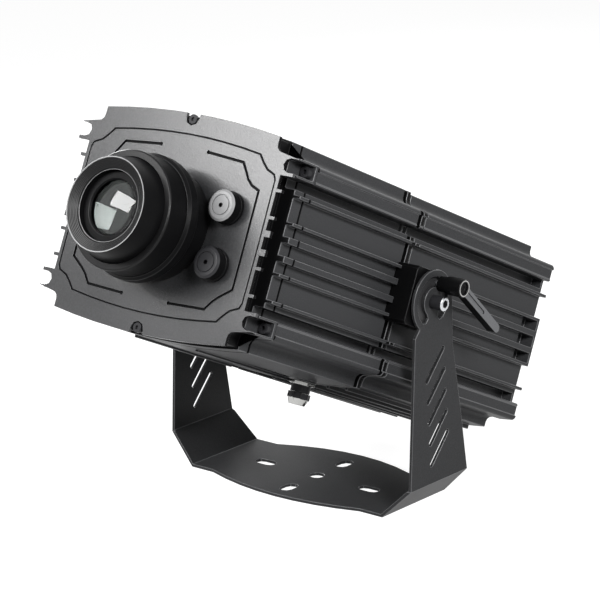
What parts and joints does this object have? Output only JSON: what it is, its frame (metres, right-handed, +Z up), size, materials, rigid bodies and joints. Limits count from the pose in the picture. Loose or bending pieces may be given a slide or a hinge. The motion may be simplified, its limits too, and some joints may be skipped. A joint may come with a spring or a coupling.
{
  "type": "gobo projector",
  "caption": "Finned rectangular gobo projector head with a stepped lens barrel, tilting on a bent sheet yoke with side clamp levers.",
  "frame": {"origin": "centre of the underside of the part's box, on the surface that the yoke's base stands on", "axes": "+Z up; the lens looks towards -Y and upwards at rest; +X to the projector's left side seen from the front"},
  "size_m": [0.3274, 0.506, 0.3699],
  "materials": {
    "powder_black": "fine-textured matt black powder coat",
    "cover_black": "fine-textured charcoal black powder coat",
    "satin_black": "satin black anodised",
    "black_rubber": "matt rubber",
    "bright_steel": "plated",
    "black_steel": "blackened",
    "nickel": "bright nickel plate",
    "lever_grey": "satin grey die casting",
    "cast_grey": "cast",
    "bare_aluminium": "bare",
    "coated_glass": "coated, polished",
    "board_white": "white solder mask",
    "black_plastic": "moulded",
    "gear_brass": "machined"
  },
  "bodies": {
    "stand": {"yoke": "powder_black"},
    "clamp_right": {"clamp_lever_right": "lever_grey", "lever_cap_right": "nickel"},
    "clamp_left": {"clamp_lever_left": "lever_grey", "lever_cap_left": "nickel"},
    "focus_control": {"focus_knob": "satin_black", "focus_screw": "bright_steel"},
    "zoom_control": {"zoom_knob": "satin_black", "zoom_screw": "bright_steel"},
    "focus_stage": {"focus_carriage": "bare_aluminium", "focus_lens": "coated_glass"},
    "zoom_stage": {"zoom_carriage": "bare_aluminium", "zoom_lens": "coated_glass"},
    "gobo_wheel": {"gobo_ring_gear": "gear_brass", "gobo_disc": "coated_glass"},
    "gobo_drive": {"motor_pinion": "gear_brass"},
    "fan_wheel": {"fan_rotor": "black_plastic"},
    "head": {"front_cover": "cover_black", "front_frame": "powder_black", "front_gasket": "black_rubber", "front_housing": "powder_black", "joint_flange": "powder_black", "rear_housing": "powder_black", "rear_cover": "powder_black", "barrel_base": "satin_black", "barrel_ring": "satin_black", "lens_hood": "satin_black", "lens_ring": "satin_black", "front_lens": "coated_glass", "cover_screw_upper": "black_steel", "cover_screw_lower": "black_steel", "guide_rod_upper": "bright_steel", "guide_rod_lower": "bright_steel", "gobo_bracket": "bare_aluminium", "gobo_motor": "black_steel", "chassis_plate": "bare_aluminium", "condenser_lens": "coated_glass", "condenser_tube": "bare_aluminium", "led_board": "board_white", "heat_sink": "bare_aluminium", "fan_frame": "black_plastic", "led_driver": "cast_grey", "gland_body": "nickel", "gland_nut": "nickel", "corner_screw_upper_right": "black_steel", "rear_screw_upper_right": "black_steel", "corner_screw_upper_left": "black_steel", "rear_screw_upper_left": "black_steel", "corner_screw_lower_right": "black_steel", "rear_screw_lower_right": "black_steel", "corner_screw_lower_left": "black_steel", "rear_screw_lower_left": "black_steel", "pivot_block_right": "powder_black", "friction_washer_right": "black_plastic", "pivot_bolt_right": "bright_steel", "clamp_stud_right": "bright_steel", "pivot_block_left": "powder_black", "friction_washer_left": "black_plastic", "pivot_bolt_left": "bright_steel", "clamp_stud_left": "bright_steel"}
  },
  "joints": [
    {"name": "tilt", "type": "hinge", "parent": "stand", "child": "head", "pos_m": [0, 0.03113, 0.1955], "axis": [1, 0, 0], "range_deg": [-10, 54]},
    {"name": "lever_right", "type": "hinge", "parent": "head", "child": "clamp_right", "pos_m": [0.155, 0.04191, 0.20929], "axis": [1, 0, 0], "range_deg": [-95, 60]},
    {"name": "lever_left", "type": "hinge", "parent": "head", "child": "clamp_left", "pos_m": [-0.155, 0.04191, 0.20929], "axis": [1, 0, 0], "range_deg": [-95, 60]},
    {"name": "focus_turn", "type": "hinge", "parent": "head", "child": "focus_control", "pos_m": [0.064, -0.15972, 0.30623], "axis": [0, 0.9116, -0.411], "range_deg": [-180, 180]},
    {"name": "zoom_turn", "type": "hinge", "parent": "head", "child": "zoom_control", "pos_m": [0.064, -0.17965, 0.26202], "axis": [0, 0.9116, -0.411], "range_deg": [-180, 180]},
    {"name": "focus_travel", "type": "slide", "parent": "head", "child": "focus_stage", "axis": [0, 0.9116, -0.411], "range_m": [-0.004, 0.004]},
    {"name": "zoom_travel", "type": "slide", "parent": "head", "child": "zoom_stage", "axis": [0, 0.9116, -0.411], "range_m": [-0.004, 0.004]},
    {"name": "gobo_turn", "type": "hinge", "parent": "head", "child": "gobo_wheel", "pos_m": [0, -0.08153, 0.24366], "axis": [0, 0.9116, -0.411], "continuous": true},
    {"name": "gobo_drive_turn", "type": "hinge", "parent": "head", "child": "gobo_drive", "pos_m": [-0.048, -0.08153, 0.24366], "axis": [0, 0.9116, -0.411], "continuous": true},
    {"name": "fan_turn", "type": "hinge", "parent": "head", "child": "fan_wheel", "pos_m": [0, 0.08173, 0.17269], "axis": [0, 0.9116, -0.411], "continuous": true}
  ],
  "couplings": [
    {"joint": "focus_turn", "follows": "focus_travel", "rad_per_m": 785.4},
    {"joint": "zoom_turn", "follows": "zoom_travel", "rad_per_m": 785.4},
    {"joint": "gobo_drive_turn", "follows": "gobo_turn", "ratio": -5}
  ]
}
